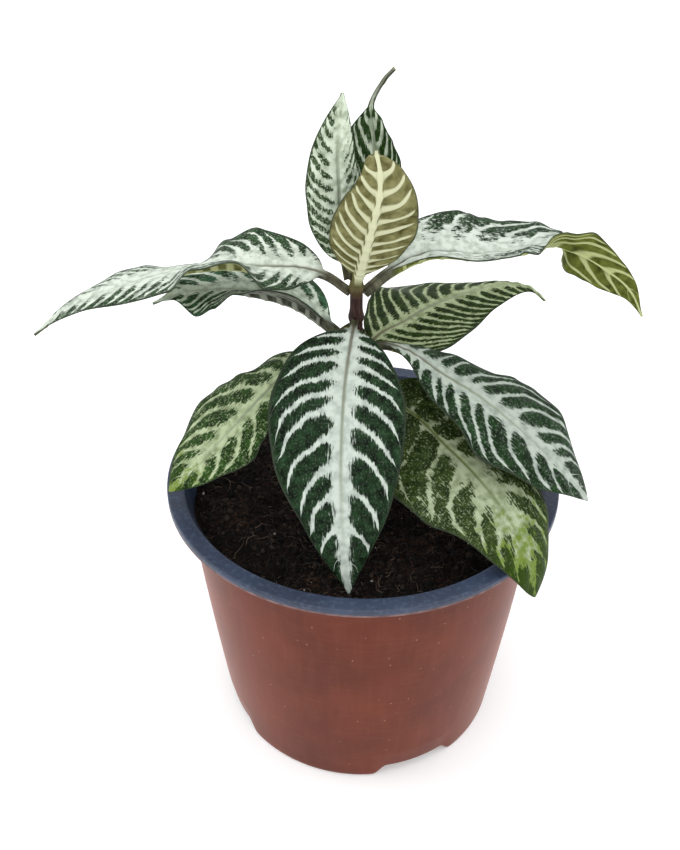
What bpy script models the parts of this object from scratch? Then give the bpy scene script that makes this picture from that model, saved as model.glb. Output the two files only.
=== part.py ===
"""Potted zebra plant: a striped-leaved house plant in a 13 cm two-tone nursery pot.

Sizes are in millimetres and are turned into metres where each mesh is made. The origin is on the pot's axis,
on the flat middle of its base. +Z is up, -Y is the plant's front, and +X is its right seen from the front.
"""

import math

import bmesh
import bpy
import numpy as np

MM = 0.001
CLEARANCE = 0.3

# Pot
POT_HEIGHT = 99.0
POT_BASE_RADIUS = 49.5
POT_NECK_RADIUS = 58.8
POT_NECK_HEIGHT = 95.2
POT_WALL = 1.2
FLANGE_RADIUS = 65.0
FLANGE_INNER_RADIUS = 59.6
FLANGE_LIP_HEIGHT = 2.6
FLANGE_EDGE = 0.6
POT_SIDES = 60
WALL_HEIGHTS = (13.0, 50.0, 84.0)

# Raised drainage channels in the base of the pot
CHANNEL_COUNT = 4
CHANNEL_HEIGHT = 4.6
CHANNEL_AZIMUTH = 294.0
CHANNEL_FLAT_HALF_ANGLE = 12.0
CHANNEL_RAMP_ANGLE = 6.0
CHANNEL_START_RADIUS = 22.0
CHANNEL_FULL_RADIUS = 28.0
INNER_BASE_RADII = (POT_BASE_RADIUS - 3.2, CHANNEL_FULL_RADIUS, CHANNEL_START_RADIUS)
DRAIN_RADIUS = 3.2
DRAIN_CENTRE_RADIUS = 39.0
DRAIN_HALF_ANGLE = 6.5

# Soil
SOIL_LEVEL = 87.5
SOIL_ROUGHNESS = 0.9
SOIL_BASE_GAP = 0.5
SOIL_CHANNEL_MARGIN = 1.5
STEM_HOLE_DEPTH = 24.0

# Stem
STEM_X = -2.7
STEM_Y = 0.0
STEM_FOOT_RADIUS = 2.5
STEM_TOP_RADIUS = 1.8
STEM_TOP = 170.6
STEM_SIDES = 14
NODE_HEIGHTS = (131.0, 141.0, 149.5, 157.5, 167.0)
NODE_SWELLING = 0.45
NODE_HALF_HEIGHT = 1.6
BUD_LENGTH = 5.0
BUD_RADIUS = 0.6

# Leaves
BLADE_THICKNESS = 0.8
STALK_HALF_WIDTH = 1.3
TIP_HALF_WIDTH = 0.45
RIB_HALF_WIDTH = 1.5
RIB_DEPTH_AT_STALK = 2.3
RIB_DEPTH_AT_TIP = 0.9
LEAF_STATIONS = 20
BLADE_COLUMNS = 4

# Each leaf: spine is its midrib from the stem to the tip, face the way its upper side looks at even stations,
# stalk the length of the bare petiole, half_width the widest half of the blade, base and tip the exponents
# that draw the blade in at its ends, fold the angle of each half of the blade above the plane of face, curl how
# much a half bends over out to its margin, wide a local factor on its width, wave the height of its waves.
# Left is the left of someone who looks from the stem to the tip, with the upper side up.
LEAVES = {
    "leaf_front": dict(
        spine=[(-2.9, -2.7, 157.8), (-4, -12, 156), (-5.6, -25, 147.5), (-6.2, -36, 133), (-5.8, -44, 117),
               (-4.6, -49.5, 102), (-3.4, -52, 92.6)],
        face=[(0, -0.5, 0.85), (0, -0.7, 0.7), (0, -0.9, 0.4)],
        stalk=4, half_width=20, base=0.72, tip=1.05,
        fold_left=[5, 5, 0, 0, 0], fold_right=[10, 10, 8, 5, 0], curl=-20,
        wide_left=[0.98, 0.95, 0.92, 0.97, 0.95], wide_right=[1.3, 1.12, 1.03, 0.88, 0.75], wave=0.8),
    "leaf_rear": dict(
        spine=[(-2.7, 3.1, 157.4), (-2.9, 6.6, 156), (-3.5, 9.5, 149), (-5, 13, 139), (-6, 21, 126),
               (-7, 34, 112.5), (-7, 47, 104.5), (-6, 55, 101.5)],
        face=[(0, 0.9, 0.4), (0, 0.7, 0.7), (0, 0.4, 0.9)],
        stalk=10, half_width=13, base=0.75, tip=1.1,
        fold_left=[10, 8, 5, 0, 0], fold_right=[10, 8, 5, 0, 0], curl=-20,
        wide_left=[0.8, 1, 1], wide_right=[0.8, 1, 1], wave=0.8),
    "leaf_right_high": dict(
        spine=[(0.2, 0.5, 166.8), (7.5, 5, 171), (19, 8, 175), (34.2, 10, 173.6), (45.5, 11, 174.6),
               (52.4, 9.8, 177.5), (55.8, 8.5, 178.7), (59.5, 6.5, 178), (69.5, 4, 173), (78, 3, 166.5),
               (83, 2, 158)],
        face=[(0, -0.2, 1), (0, -0.25, 1), (0, -0.3, 1), (0, -0.3, 1), (0, -0.3, 1), (0, -0.25, 1),
              (0, -0.2, 1), (0, -0.15, 1), (0, -0.1, 1), (0, 0.1, 1), (0.2, 0.65, 0.75), (0.38, 0.88, 0.35),
              (0.4, 0.9, 0.3), (0.4, 0.9, 0.3), (0.4, 0.9, 0.3), (0.4, 0.9, 0.3), (0.4, 0.9, 0.3)],
        stalk=9, half_width=19, base=0.75, tip=1.1,
        fold_left=[20, 18, 15, 12, 10, 8, 5, 0, 0, 4, -10, -25, -22, -20, -18, -16, -15],
        fold_right=[35, 36, 37, 37, 38, 37, 36, 35, 32, 5, 12, 24, 30, 34, 35, 38, 40], curl=-10,
        wide_left=[1, 1, 1, 1, 1, 1, 1, 1, 0.9, 0.7, 0.5, 0.5, 0.58, 0.66, 0.68, 0.6, 0.6],
        wide_right=[0.55, 0.55, 0.55, 0.6, 0.65, 0.72, 0.8, 0.8, 0.8, 0.6, 0.52, 0.55, 0.52, 0.48, 0.44, 0.4,
                    0.4],
        wave=0.5),
    "leaf_left_high": dict(
        spine=[(-5.6, 0.3, 166.8), (-12, 4, 169.5), (-19.6, 5, 171), (-30.6, 3, 172.3), (-42.3, 1, 174),
               (-56, -1, 172.5), (-75, -5, 168), (-88, -7, 162.5), (-98.5, -9, 155)],
        face=[(0, -0.3, 1), (0, -0.2, 1), (0, 0, 1), (0, 0, 1), (0, 0, 1)],
        stalk=9, half_width=19, base=0.7, tip=1.15,
        fold_left=[5, 15, 19, 42, 33, 13, 10, 5, 5, 5, 5],
        fold_right=[10, 12, 12, -8, -24, -17, -8, -2, -2, -2, -2], curl=-10,
        wide_left=[1, 1, 1, 1, 1, 1, 0.9, 0.8, 0.75, 0.75, 0.8], wide_right=[1], wave=0.3),
    "leaf_left_middle": dict(
        spine=[(-5.6, 0.6, 149.5), (-12.3, 5, 153), (-21.7, 9, 157), (-35.8, 12, 159), (-48, 12, 159.5),
               (-58, 9, 159.5), (-65.4, 6, 157.7)],
        face=[(0, -0.1, 1), (0, -0.2, 1), (0, -0.3, 1)],
        stalk=7, half_width=17, base=0.9, tip=0.9,
        fold_left=[55, 55, 50, 40, 20, 0, 0], fold_right=[20, 10, 10, 0, 0], curl=-10,
        wide_left=[1, 1, 1, 1, 1, 1, 0.8, 0.9, 0.97, 0.25, 0.1],
        wide_right=[1, 1, 1, 1, 1, 1, 1, 1, 0.8, 0.25, 0.1], wave=0.2),
    "leaf_right_middle": dict(
        spine=[(-0.2, -0.8, 148.6), (7, -4.5, 151), (15, -8, 149.5), (22, -11, 145.7), (35, -15, 139),
               (50, -19, 127.5), (62, -21.5, 116), (70.5, -22, 105.5)],
        face=[(0.1, -0.2, 1), (0.3, -0.3, 0.9), (0.5, -0.3, 0.8)],
        stalk=9, half_width=19, base=1.0, tip=0.85,
        fold_left=[-10, 0, 0, 10, 10], fold_right=[10, 0, 0, 0, 0], curl=-20,
        wide_left=[1, 1, 0.92, 0.82, 0.85, 1, 1.15, 1.12, 1, 1, 1],
        wide_right=[0.6, 0.75, 0.9, 0.75, 0.5], wave=0.8),
    "leaf_right_rear": dict(
        spine=[(-1.3, 2.2, 141.8), (4, 5, 148), (12, 12, 149), (19.5, 20, 149.5), (27, 28, 148.5),
               (37.5, 36, 148), (49.5, 42, 147), (57, 45, 144), (62.8, 46, 138.7)],
        face=[(0, -0.4, 1), (0.1, -0.4, 1), (0.1, -0.5, 0.9)],
        stalk=5, half_width=15.5, base=0.65, tip=1.5,
        fold_left=[-5, -5, -18, -25, -20], fold_right=[0, 0, 5, 5, 0], curl=-20,
        wide_left=[1, 1, 1.15, 1.3, 1.35, 1.2, 1, 0.7, 0.5, 0.5, 0.5], wide_right=[1], wave=0.5),
    "leaf_left_low": dict(
        spine=[(-5.5, -1.1, 141), (-14, -1.5, 141.5), (-24.8, -3, 138), (-32, -6.5, 132), (-44, -14, 121),
               (-53, -20, 114), (-60, -25, 108.5)],
        face=[(-0.3, -0.2, 1), (-0.5, -0.5, 0.8), (-0.5, -0.6, 0.7)],
        stalk=7, half_width=16.5, base=0.75, tip=0.85,
        fold_left=[0], fold_right=[0], curl=-20,
        wide_left=[0.7, 0.7, 0.65, 0.6, 0.55, 0.72, 0.82, 0.82, 0.78, 0.78, 0.8],
        wide_right=[0.95, 1, 1, 0.86, 1, 1.25, 1.3, 1.3, 1.2, 1.2, 1.15], wave=0.8),
    "leaf_right_low": dict(
        spine=[(-0.4, -2.0, 131), (7, -5, 131.5), (16.5, -10, 128), (24, -17, 124), (33, -26, 119.5),
               (41, -35, 114), (47, -42, 106.5), (51, -46.5, 97.5), (52.5, -48.5, 89.5)],
        face=[(0, -0.6, 0.8), (0.2, -0.5, 0.8), (0.6, -0.6, 0.6)],
        stalk=6, half_width=20, base=0.5, tip=0.75,
        fold_left=[0], fold_right=[5, 0, 0, 5, 10], curl=-20,
        wide_left=[0.9, 1, 0.95, 1.02, 1.35], wide_right=[0.9, 1.2, 1.1, 0.9, 0.85], wave=0.8),
    "leaf_top_left": dict(
        spine=[(-5.4, -0.8, 171.2), (-7.2, -1.5, 183.5), (-7.6, -3.5, 196.3), (-8, -6, 211),
               (-6.6, -9, 226.8)],
        face=[(-0.3, -0.9, 0.3), (-0.2, -0.9, 0.3), (0, -0.9, 0.4)],
        stalk=5, half_width=10, base=0.6, tip=0.85,
        fold_left=[30], fold_right=[20, 0, -5, 0, 10], curl=-10,
        wide_left=[0.93], wide_right=[1, 0.9, 0.62, 0.58, 0.6], wave=0.4),
    "leaf_top_front": dict(
        spine=[(-2.2, -1.6, 171.4), (-0.5, -9.5, 182.4), (1.5, -15, 193.5), (3.2, -18, 203),
               (3.2, -16.5, 209), (2.2, -12, 211.8), (2.4, -7, 210.5)],
        face=[(0, 0.85, 0.5), (0, 0.95, 0.3), (0, 1, 0.1), (0, 0.75, -0.6), (0, -0.2, -1)],
        stalk=1, half_width=12.5, base=0.6, tip=1.1,
        fold_left=[20], fold_right=[20], curl=-10,
        wide_left=[1, 1, 1.1, 1.2, 1.1], wide_right=[0.75, 0.86, 0.92, 0.95, 1], wave=0.4),
    "leaf_top_rear": dict(
        spine=[(-1.7, 1.5, 171.4), (0, 6.5, 186), (2, 8, 200), (1.3, 7, 212), (0.8, 5, 220), (3.9, 3, 227),
               (6.2, 1, 230.3)],
        face=[(0, -0.9, 0.3), (0, -0.9, 0.3), (0, -0.8, 0.5)],
        stalk=3, half_width=11.5, base=0.8, tip=1,
        fold_left=[30], fold_right=[30], curl=-10,
        wide_left=[1, 1, 1, 1, 1, 1, 0.95, 0.8, 0, 0, 0],
        wide_right=[0.9, 0.9, 0.9, 0.9, 0.8, 0.7, 0.55, 0.35, 0, 0, 0], wave=0.4),
}


def clear_scene():
    """Take away whatever the file starts with."""
    for old in list(bpy.data.objects):
        bpy.data.objects.remove(old)


def material(name, colour, roughness):
    """A plain opaque material; colour is linear red, green, blue."""
    made = bpy.data.materials.new(name)
    made.use_nodes = True
    shader = made.node_tree.nodes["Principled BSDF"]
    shader.inputs["Base Color"].default_value = (*colour, 1.0)
    shader.inputs["Roughness"].default_value = roughness
    shader.inputs["Metallic"].default_value = 0.0
    made.diffuse_color = (*colour, 1.0)
    return made


def add_object(name, points, faces, look):
    """One named mesh object from points in millimetres, with its faces turned outwards."""
    mesh = bpy.data.meshes.new(name)
    mesh.from_pydata([tuple(point) for point in np.asarray(points) * MM], [], faces)
    shape = bmesh.new()
    shape.from_mesh(mesh)
    bmesh.ops.recalc_face_normals(shape, faces=shape.faces)
    shape.to_mesh(mesh)
    shape.free()
    mesh.materials.append(look)
    mesh.shade_smooth()
    mesh.set_sharp_from_angle(angle=math.radians(40))
    made = bpy.data.objects.new(name, mesh)
    bpy.context.scene.collection.objects.link(made)
    return made


def ring_solid(rings):
    """Points and triangles of a closed solid through rings of equal count, the first and last one point each."""
    points = [rings[0][0]]
    for ring in rings[1:-1]:
        points.extend(ring)
    points.append(rings[-1][0])
    count = len(rings[1])
    last_ring = len(points) - 1 - count
    faces = []
    for side in range(count):
        following = (side + 1) % count
        faces.append((0, 1 + following, 1 + side))
        faces.append((len(points) - 1, last_ring + side, last_ring + following))
        for start in range(1, last_ring, count):
            a, b = start + side, start + following
            c, d = b + count, a + count
            faces.append((a, b, c))
            faces.append((a, c, d))
    return np.array(points), faces


def circle(radius, height, centre_x=0.0, centre_y=0.0, sides=POT_SIDES):
    """Points of one level ring. height may be one number or one number for each side."""
    turn = np.radians(CHANNEL_AZIMUTH) + np.arange(sides) * 2 * math.pi / sides
    flat = np.full(sides, 1.0)
    x, y = centre_x + radius * np.cos(turn), centre_y + radius * np.sin(turn)
    return np.stack([x, y, height * flat], axis=1)


def channel_rise(radius, widened=0.0):
    """Height of the pot's base above the table round a ring: 0 on the feet, CHANNEL_HEIGHT in the channels.

    widened is how many degrees wider each side of a channel is drawn.
    """
    pitch = 360.0 / CHANNEL_COUNT
    turn = np.arange(POT_SIDES) * 360.0 / POT_SIDES
    from_centre = np.abs((turn + pitch / 2) % pitch - pitch / 2) - widened
    ramp = np.clip((CHANNEL_FLAT_HALF_ANGLE + CHANNEL_RAMP_ANGLE - from_centre) / CHANNEL_RAMP_ANGLE, 0, 1)
    inward = np.clip((radius - CHANNEL_START_RADIUS) / (CHANNEL_FULL_RADIUS - CHANNEL_START_RADIUS), 0, 1)
    return CHANNEL_HEIGHT * ramp * inward


def wall_radius(height):
    """Outer radius of the pot's tapered wall, with the slight bulge that the sheet keeps low down."""
    share = height / POT_NECK_HEIGHT
    return POT_BASE_RADIUS + (POT_NECK_RADIUS - POT_BASE_RADIUS) * share + 0.5 * np.sin(np.pi * share)


def wall_rings(heights, inward, widened=0.0):
    """Rings up the wall, offset inwards. Near the base they rise over the channels with it."""
    rings = []
    for height in heights:
        lift = channel_rise(POT_BASE_RADIUS, widened) * max(0.0, 1 - height / WALL_HEIGHTS[0])
        rings.append(circle(wall_radius(height) - inward, height + lift))
    return rings


def base_rings(radii, above, widened=0.0):
    """Rings across the base, above its underside by the given height."""
    return [circle(radius, channel_rise(radius, widened) + above) for radius in radii]


def add_pot(look):
    """The thermoformed pot: base with drainage channels, tapered wall and out-turned flange with a lip."""
    top = POT_HEIGHT
    lip_bottom = top - FLANGE_LIP_HEIGHT
    sheet_under = top - POT_WALL
    base_radii = (CHANNEL_START_RADIUS, CHANNEL_FULL_RADIUS, POT_BASE_RADIUS - 1.0)
    outside = base_rings(base_radii, 0.0) + wall_rings((0.6,) + WALL_HEIGHTS + (POT_NECK_HEIGHT,), 0.0)
    flange = [
        circle(FLANGE_INNER_RADIUS + 0.4, sheet_under),
        circle(FLANGE_RADIUS - POT_WALL, sheet_under),
        circle(FLANGE_RADIUS - POT_WALL, lip_bottom),
        circle(FLANGE_RADIUS, lip_bottom),
        circle(FLANGE_RADIUS, top - FLANGE_EDGE),
        circle(FLANGE_RADIUS - FLANGE_EDGE, top),
        circle(FLANGE_INNER_RADIUS + FLANGE_EDGE, top),
        circle(FLANGE_INNER_RADIUS, top - FLANGE_EDGE),
    ]
    inner_heights = (POT_NECK_HEIGHT,) + WALL_HEIGHTS[::-1] + (1.8,)
    inside = wall_rings(inner_heights, POT_WALL) + base_rings(INNER_BASE_RADII, POT_WALL)
    rings = [[(0, 0, 0)]] + outside + flange + inside + [[(0, 0, POT_WALL)]]
    points, faces = ring_solid(rings)
    pot = add_object("pot", points, faces, look)
    cutters = [add_drain_cutter(number) for number in range(2 * CHANNEL_COUNT)]
    for cutter in cutters:
        hole = pot.modifiers.new("drain", "BOOLEAN")
        hole.operation = "DIFFERENCE"
        hole.object = cutter
    return pot


def add_drain_cutter(number):
    """A cutter for one drain hole. Each channel has two."""
    side = 1 if number % 2 else -1
    channel = CHANNEL_AZIMUTH + 360.0 / CHANNEL_COUNT * (number // 2)
    turn = math.radians(channel + side * DRAIN_HALF_ANGLE)
    x, y = DRAIN_CENTRE_RADIUS * math.cos(turn), DRAIN_CENTRE_RADIUS * math.sin(turn)
    bottom, top = CHANNEL_HEIGHT - 2.0, CHANNEL_HEIGHT + POT_WALL + 2.0
    ends = [circle(DRAIN_RADIUS, height, x, y, 12) for height in (bottom, top)]
    rings = [[(x, y, bottom)]] + ends + [[(x, y, top)]]
    points, faces = ring_solid(rings)
    cutter = add_object("drain_cutter_%d" % number, points, faces, None)
    cutter.hide_render = True
    cutter.display_type = "WIRE"
    return cutter


def soil_height(x, y):
    """Level of the crumbly soil surface: crossed waves of different length, which never repeat evenly."""
    long_wave = np.sin(0.11 * x + 0.07 * y + 0.6) + np.sin(0.09 * y - 0.05 * x + 2.1)
    short_wave = np.sin(0.31 * x - 0.23 * y) * np.sin(0.27 * y + 0.17 * x + 1.3)
    return SOIL_LEVEL + SOIL_ROUGHNESS * (0.5 * long_wave + 0.6 * short_wave)


def add_soil(look):
    """The potting soil with the root ball in it, which fills the pot and has a blind hole for the stem."""
    hole_radius = STEM_FOOT_RADIUS + CLEARANCE
    hole_bottom = SOIL_LEVEL - STEM_HOLE_DEPTH
    wall_gap = POT_WALL + CLEARANCE
    edge_radius = wall_radius(WALL_HEIGHTS[-1]) - wall_gap
    rings = [[(STEM_X, STEM_Y, hole_bottom)], circle(hole_radius, hole_bottom, STEM_X, STEM_Y)]
    for share in (0.0, 0.16, 0.34, 0.54, 0.74, 0.92):
        radius = hole_radius + (edge_radius - hole_radius) * share
        ring = circle(radius, 0.0, STEM_X * (1 - share), STEM_Y * (1 - share))
        ring[:, 2] = soil_height(ring[:, 0], ring[:, 1])
        rings.append(ring)
    edge = circle(edge_radius, 0.0)
    edge[:, 2] = soil_height(edge[:, 0], edge[:, 1]) - 0.8
    rings.append(edge)
    rings += wall_rings(WALL_HEIGHTS[::-1] + (2.6,), wall_gap, SOIL_CHANNEL_MARGIN)
    rings += base_rings(INNER_BASE_RADII, POT_WALL + SOIL_BASE_GAP, SOIL_CHANNEL_MARGIN)
    rings.append([(0, 0, POT_WALL + SOIL_BASE_GAP)])
    points, faces = ring_solid(rings)
    return add_object("soil", points, faces, look)


def stem_radius(height):
    """Radius of the stem: tapered, and swollen at each node where leaves are or were."""
    foot = SOIL_LEVEL
    share = np.clip((height - foot) / (STEM_TOP - foot), 0, 1)
    radius = STEM_FOOT_RADIUS + (STEM_TOP_RADIUS - STEM_FOOT_RADIUS) * share
    for node in NODE_HEIGHTS:
        radius += NODE_SWELLING * math.exp(-(((height - node) / NODE_HALF_HEIGHT) ** 2))
    return radius


def add_stem(look):
    """The upright stem from its hole in the soil up to the leaf bud at its tip."""
    foot = SOIL_LEVEL - STEM_HOLE_DEPTH + CLEARANCE
    heights = [foot, SOIL_LEVEL + 2, 112.0]
    for node in NODE_HEIGHTS:
        heights += [node - 2.4, node, node + 2.4]
    heights = sorted(heights + [STEM_TOP])
    rings = [[(STEM_X, STEM_Y, foot)]]
    for height in heights:
        radius = min(stem_radius(height), STEM_FOOT_RADIUS) if height < 100 else stem_radius(height)
        rings.append(circle(radius, height, STEM_X, STEM_Y, STEM_SIDES))
    for share in (0.0, 0.45, 0.8):
        radius = BUD_RADIUS * math.cos(share * math.pi / 2)
        rings.append(circle(radius, STEM_TOP + 0.2 + BUD_LENGTH * share, STEM_X, STEM_Y, STEM_SIDES))
    rings.append([(STEM_X, STEM_Y, STEM_TOP + 0.2 + BUD_LENGTH)])
    points, faces = ring_solid(rings)
    return add_object("stem", points, faces, look)


def smooth_curve(control, shares):
    """Points and unit tangents of a cubic curve through the control points, at shares of its length."""
    control = np.asarray(control, float)
    knots = np.concatenate([[0], np.cumsum(np.sqrt(np.linalg.norm(np.diff(control, axis=0), axis=1)))])
    step = np.diff(knots)[:, None]
    slope = np.diff(control, axis=0) / step
    inner = (slope[:-1] * step[1:] + slope[1:] * step[:-1]) / (step[:-1] + step[1:])
    rate = np.concatenate([slope[:1], inner, slope[-1:]])

    def at(knot):
        piece = np.clip(np.searchsorted(knots, knot, side="right") - 1, 0, len(control) - 2)
        span = step[piece]
        u = (knot[:, None] - knots[piece][:, None]) / span
        return (
            (2 * u**3 - 3 * u**2 + 1) * control[piece]
            + (u**3 - 2 * u**2 + u) * span * rate[piece]
            + (3 * u**2 - 2 * u**3) * control[piece + 1]
            + (u**3 - u**2) * span * rate[piece + 1]
        )

    fine = np.linspace(0, knots[-1], 400)
    run = np.concatenate([[0], np.cumsum(np.linalg.norm(np.diff(at(fine), axis=0), axis=1))])
    knot = np.interp(np.asarray(shares) * run[-1], run, fine)
    reach = 0.001 * knots[-1]
    tangent = at(np.clip(knot + reach, 0, knots[-1])) - at(np.clip(knot - reach, 0, knots[-1]))
    return at(knot), tangent / np.linalg.norm(tangent, axis=1)[:, None], run[-1]


def along(values, share):
    """Values given at even stations, eased between them, at shares 0 to 1."""
    values = np.asarray(values, float)
    if len(values) == 1:
        values = np.concatenate([values, values])
    place = np.clip(share, 0, 1) * (len(values) - 1)
    before = np.clip(place.astype(int), 0, len(values) - 2)
    ease = place - before
    ease = ease * ease * (3 - 2 * ease)
    if values.ndim > 1:
        ease = ease[:, None]
    return values[before] * (1 - ease) + values[before + 1] * ease


def half_blade(leaf, side, share, spine, facing, left, half_width):
    """Upper surface points and outward normals of one half of a leaf: rows along it, columns out to the margin."""
    key = "left" if side > 0 else "right"
    total = np.hypot(half_width * along(leaf["wide_" + key], share),
                     STALK_HALF_WIDTH + (TIP_HALF_WIDTH - STALK_HALF_WIDTH) * share)
    rib = np.minimum(RIB_HALF_WIDTH / total, 0.5)
    even = np.linspace(0, 1, BLADE_COLUMNS)
    column = np.concatenate([np.zeros((len(share), 1)), rib[:, None] + (1 - rib[:, None]) * even], axis=1)
    middle = (column[:, 1:] + column[:, :-1]) / 2
    width = np.diff(column, axis=1) * total[:, None]
    fold = along(leaf["fold_" + key], share)[:, None]
    angle = np.radians(fold + leaf["curl"] * middle)
    out = np.concatenate([np.zeros((len(share), 1)), np.cumsum(np.cos(angle) * width, axis=1)], axis=1)
    up = np.concatenate([np.zeros((len(share), 1)), np.cumsum(np.sin(angle) * width, axis=1)], axis=1)
    ripple = leaf["wave"] * np.sin(2 * np.pi * (4 * share + 0.25 * side)) * np.sin(np.pi * share)
    up += ripple[:, None] * column**2
    points = spine[:, None] + side * out[:, :, None] * left[:, None] + up[:, :, None] * facing[:, None]
    tilt = np.radians(fold + leaf["curl"] * column)[:, :, None]
    normals = np.cos(tilt) * facing[:, None] - side * np.sin(tilt) * left[:, None]
    rib_share = np.clip(1 - (column * total[:, None] / (RIB_HALF_WIDTH + 0.1)) ** 2, 0, 1)
    depth = RIB_DEPTH_AT_STALK + (RIB_DEPTH_AT_TIP - RIB_DEPTH_AT_STALK) * share[:, None]
    return points, normals, BLADE_THICKNESS + (depth - BLADE_THICKNESS) * rib_share


def leaf_surfaces(leaf):
    """Upper and lower surface of a leaf as grids of points: rows from stem to tip, columns left to right."""
    rows = np.linspace(0, 1, LEAF_STATIONS)
    spine, tangent, length = smooth_curve(leaf["spine"], rows)
    stalk = leaf["stalk"] / length
    share = np.clip((rows - stalk) / (1 - stalk), 0, 1)
    facing = along(leaf["face"], share)
    facing -= np.sum(facing * tangent, axis=1)[:, None] * tangent
    facing /= np.linalg.norm(facing, axis=1)[:, None]
    left = np.cross(facing, tangent)
    widest = leaf["base"] / (leaf["base"] + leaf["tip"])
    peak = widest ** leaf["base"] * (1 - widest) ** leaf["tip"]
    half_width = leaf["half_width"] * share ** leaf["base"] * (1 - share) ** leaf["tip"] / peak
    left_side = half_blade(leaf, 1, share, spine, facing, left, half_width)
    right_side = half_blade(leaf, -1, share, spine, facing, left, half_width)
    points, normals, depth = [
        np.concatenate([one[:, ::-1], other[:, 1:]], axis=1) for one, other in zip(left_side, right_side)
    ]
    return points, points - normals * depth[:, :, None]


def add_leaf(name, leaf, look):
    """One leaf with its stalk and midrib: two grids joined round the edge, split into triangles alike."""
    upper, lower = leaf_surfaces(leaf)
    rows, columns = upper.shape[:2]
    count = rows * columns
    number = np.arange(count).reshape(rows, columns)
    a, b, c, d = number[:-1, :-1], number[1:, :-1], number[1:, 1:], number[:-1, 1:]
    top = np.concatenate([np.stack([a, b, c], -1).reshape(-1, 3), np.stack([a, c, d], -1).reshape(-1, 3)])
    border = np.concatenate([number[0, :], number[1:, -1], number[-1, -2::-1], number[-2:0:-1, 0]])
    following = np.roll(border, -1)
    rim = np.concatenate([
        np.stack([border, following, following + count], -1),
        np.stack([border, following + count, border + count], -1),
    ])
    faces = np.concatenate([top, top[:, ::-1] + count, rim])
    points = np.concatenate([upper.reshape(-1, 3), lower.reshape(-1, 3)])
    return add_object(name, points, [tuple(int(corner) for corner in face) for face in faces], look)


def build():
    clear_scene()
    terracotta = material("terracotta_plastic", (0.32, 0.085, 0.045), 0.55)
    earth = material("potting_soil", (0.012, 0.009, 0.007), 0.95)
    bark = material("stem_skin", (0.06, 0.018, 0.014), 0.6)
    green = material("leaf_green", (0.035, 0.09, 0.03), 0.42)
    add_pot(terracotta)
    add_soil(earth)
    add_stem(bark)
    for name, leaf in LEAVES.items():
        add_leaf(name, leaf, green)


build()
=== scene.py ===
"""Looks of the potted zebra plant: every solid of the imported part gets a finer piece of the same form.

Pot, soil, stem and leaves are worked out in millimetres and turned into metres where each mesh is made.
"""

import math

import bpy
import numpy as np
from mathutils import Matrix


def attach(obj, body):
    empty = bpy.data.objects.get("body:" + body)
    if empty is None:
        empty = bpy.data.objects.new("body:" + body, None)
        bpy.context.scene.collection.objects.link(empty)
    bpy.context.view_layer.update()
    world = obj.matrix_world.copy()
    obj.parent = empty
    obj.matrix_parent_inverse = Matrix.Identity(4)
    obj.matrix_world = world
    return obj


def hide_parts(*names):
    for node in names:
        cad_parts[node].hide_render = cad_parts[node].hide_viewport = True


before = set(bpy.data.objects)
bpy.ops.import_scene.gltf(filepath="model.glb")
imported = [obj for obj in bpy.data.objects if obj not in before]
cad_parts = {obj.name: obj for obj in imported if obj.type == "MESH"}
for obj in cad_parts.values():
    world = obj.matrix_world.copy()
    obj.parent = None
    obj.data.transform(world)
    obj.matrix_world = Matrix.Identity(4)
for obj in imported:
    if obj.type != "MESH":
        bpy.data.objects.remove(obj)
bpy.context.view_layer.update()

# Camera
# It looks at the plant from the front and from well above the rim of its pot, so that the soil shows.
CAMERA_PLACE = (0.0, -0.2630, 0.3074)
CAMERA_TILT_DOWN = 0.62656
CAMERA_TURN = 0.0287
CAMERA_LENS = 42.35

camera_data = bpy.data.cameras.new("camera")
camera_data.lens = CAMERA_LENS
camera_data.clip_start = 0.01
camera = bpy.data.objects.new("camera", camera_data)
camera.location = CAMERA_PLACE
camera.rotation_euler = (math.pi / 2 - CAMERA_TILT_DOWN, 0.0, CAMERA_TURN)
bpy.context.scene.collection.objects.link(camera)
bpy.context.scene.camera = camera
bpy.context.scene.view_settings.view_transform = "Standard"

# Pot
# One sheet of polystyrene in two layers, terracotta outside and slate blue inside, drawn hot into a mould.
# Its edge is folded out to a flange with a short lip, whose cut shows the terracotta layer as a thin line.
MM = 0.001
POT_HEIGHT = 99.0
POT_BASE_RADIUS = 49.5
POT_NECK_RADIUS = 58.8
POT_NECK_HEIGHT = 95.2
POT_WALL = 1.2
POT_SIDES = 288
BASE_CORNER = 1.6
WALL_FOOT = 3.5
WALL_TOP = 93.7
WALL_BULGE = 0.5
FLANGE_RADIUS = 65.0
FLANGE_INNER_RADIUS = 59.6
FLANGE_LIP_HEIGHT = 2.6
CUT_EDGE_HEIGHT = 0.9
MOULD_LINE_HEIGHT = 89.5
MOULD_LINE_RISE = 0.12
MOULD_LINE_HALF_WIDTH = 0.8
CHANNEL_COUNT = 4
CHANNEL_HEIGHT = 4.6
CHANNEL_AZIMUTH = 294.0
CHANNEL_FLAT_HALF_ANGLE = 12.0
CHANNEL_RAMP_ANGLE = 6.0
CHANNEL_START_RADIUS = 22.0
CHANNEL_FULL_RADIUS = 28.0
CHANNEL_FADE_HEIGHT = 13.0
INNER_FLOOR_RADII = (42, 38, CHANNEL_FULL_RADIUS, 25, CHANNEL_START_RADIUS, 0.4)
DRAIN_RADIUS = 3.2
DRAIN_CENTRE_RADIUS = 39.0
DRAIN_HALF_ANGLE = 6.5
DRILL_SIDES = 32
DRILL_REACH = 2.0


def linear(colour):
    """An sRGB hex colour as linear light: ((c + 0.055) / 1.055) ** 2.4, or c / 12.92 near black."""
    channels = [int(colour[start:start + 2], 16) / 255 for start in (0, 2, 4)]
    return [c / 12.92 if c <= 0.04045 else ((c + 0.055) / 1.055) ** 2.4 for c in channels] + [1.0]


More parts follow.
